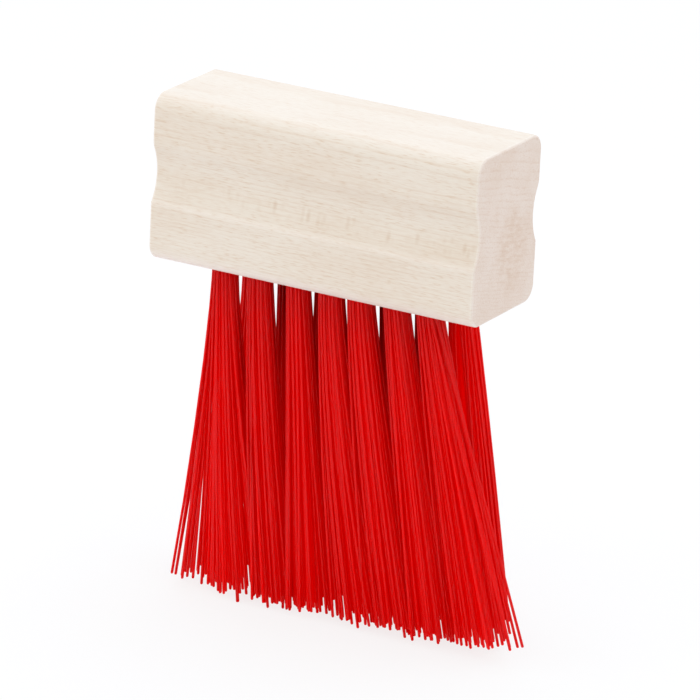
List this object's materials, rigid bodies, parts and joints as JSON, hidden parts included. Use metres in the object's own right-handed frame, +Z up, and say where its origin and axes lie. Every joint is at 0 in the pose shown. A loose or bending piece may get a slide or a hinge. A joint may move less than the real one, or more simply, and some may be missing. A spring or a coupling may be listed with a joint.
{
  "type": "track cleaning brush",
  "caption": "Short hardwood hand block with a finger grip along each long side and rows of long red plastic bristle tufts set in its underside.",
  "frame": {"origin": "centre of the base of the box around the whole brush, on the plane that its longest bristle tips stand on", "axes": "+X along the wooden block, towards the end that the bristles lean to; +Z up, from the bristle tips to the top of the block; the front is -Y"},
  "size_m": [0.0988, 0.03, 0.119],
  "materials": {
    "hardwood": "sanded, unfinished",
    "red_filament": "extruded, glossy",
    "anchor_wire": "drawn flat wire"
  },
  "bodies": {
    "root": {"handle_block": "hardwood", "tuft_front_1": "red_filament", "tuft_front_2": "red_filament", "tuft_front_3": "red_filament", "tuft_front_4": "red_filament", "tuft_front_5": "red_filament", "tuft_front_6": "red_filament", "tuft_front_7": "red_filament", "tuft_back_1": "red_filament", "tuft_back_2": "red_filament", "tuft_back_3": "red_filament", "tuft_back_4": "red_filament", "tuft_back_5": "red_filament", "tuft_back_6": "red_filament", "tuft_back_7": "red_filament", "anchor_front_1": "anchor_wire", "anchor_front_2": "anchor_wire", "anchor_front_3": "anchor_wire", "anchor_front_4": "anchor_wire", "anchor_front_5": "anchor_wire", "anchor_front_6": "anchor_wire", "anchor_front_7": "anchor_wire", "anchor_back_1": "anchor_wire", "anchor_back_2": "anchor_wire", "anchor_back_3": "anchor_wire", "anchor_back_4": "anchor_wire", "anchor_back_5": "anchor_wire", "anchor_back_6": "anchor_wire", "anchor_back_7": "anchor_wire"}
  },
  "joints": []
}
